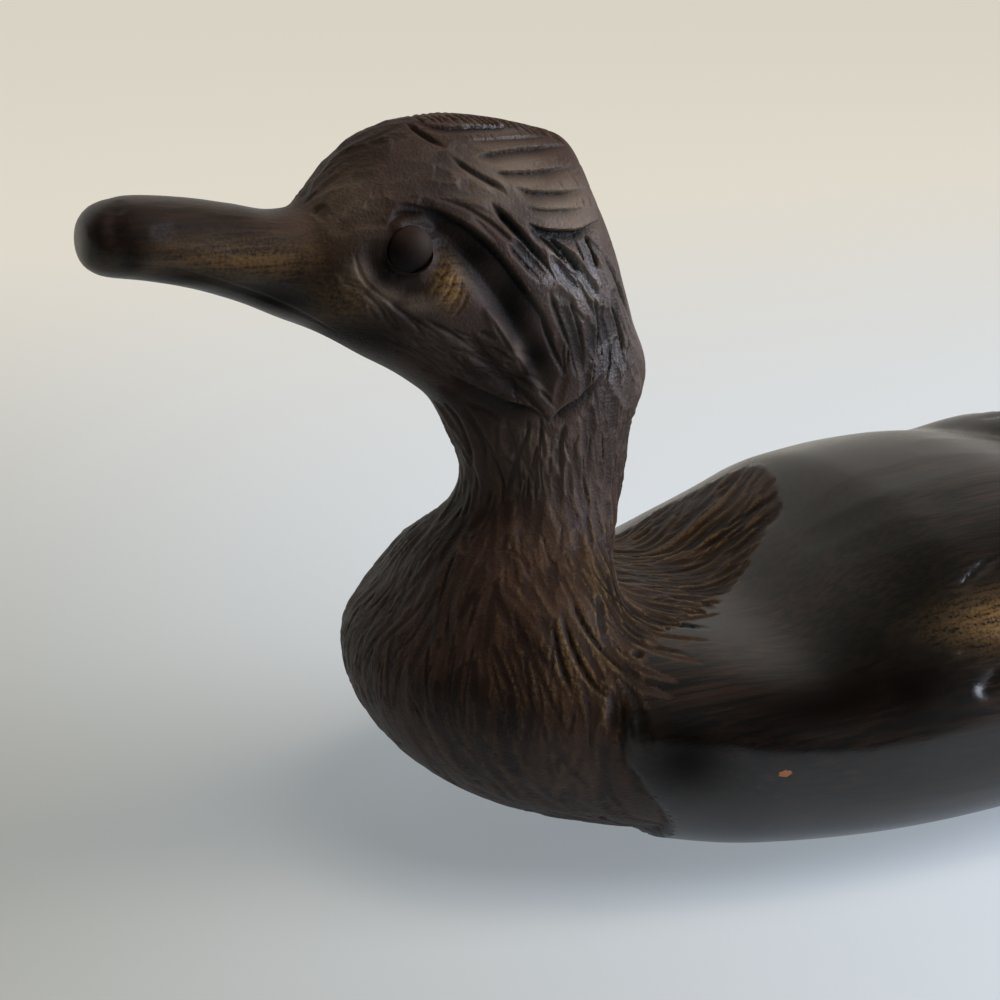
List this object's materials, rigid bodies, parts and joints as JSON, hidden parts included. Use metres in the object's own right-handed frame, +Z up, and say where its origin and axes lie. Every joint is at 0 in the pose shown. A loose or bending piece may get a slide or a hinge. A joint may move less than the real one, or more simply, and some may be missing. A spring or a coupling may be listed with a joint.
{
  "type": "duck decoy",
  "caption": "Carved and dark-stained wooden duck decoy with a raised head, folded wings and glass eyes.",
  "frame": {"origin": "on the standing surface, under the middle of the bird's length and width", "axes": "+X from bill to tail, +Y to the bird's right side, +Z up"},
  "size_m": [0.38, 0.148, 0.1753],
  "materials": {
    "stained_wood": "dark stain under satin lacquer",
    "bare_wood": "raw",
    "steel": "zinc plated",
    "brass": "turned",
    "glass": "polished"
  },
  "bodies": {
    "root": {"body_block": "stained_wood", "head_block": "stained_wood", "screw_plug": "stained_wood", "bottom_board": "stained_wood", "board_screw_1": "brass", "board_screw_2": "brass", "board_screw_3": "brass", "board_screw_4": "brass", "board_screw_5": "brass", "board_screw_6": "brass", "neck_dowel": "bare_wood", "neck_screw": "steel", "neck_washer": "steel", "left_eye": "glass", "left_eye_wire": "steel", "right_eye": "glass", "right_eye_wire": "steel"}
  },
  "joints": []
}
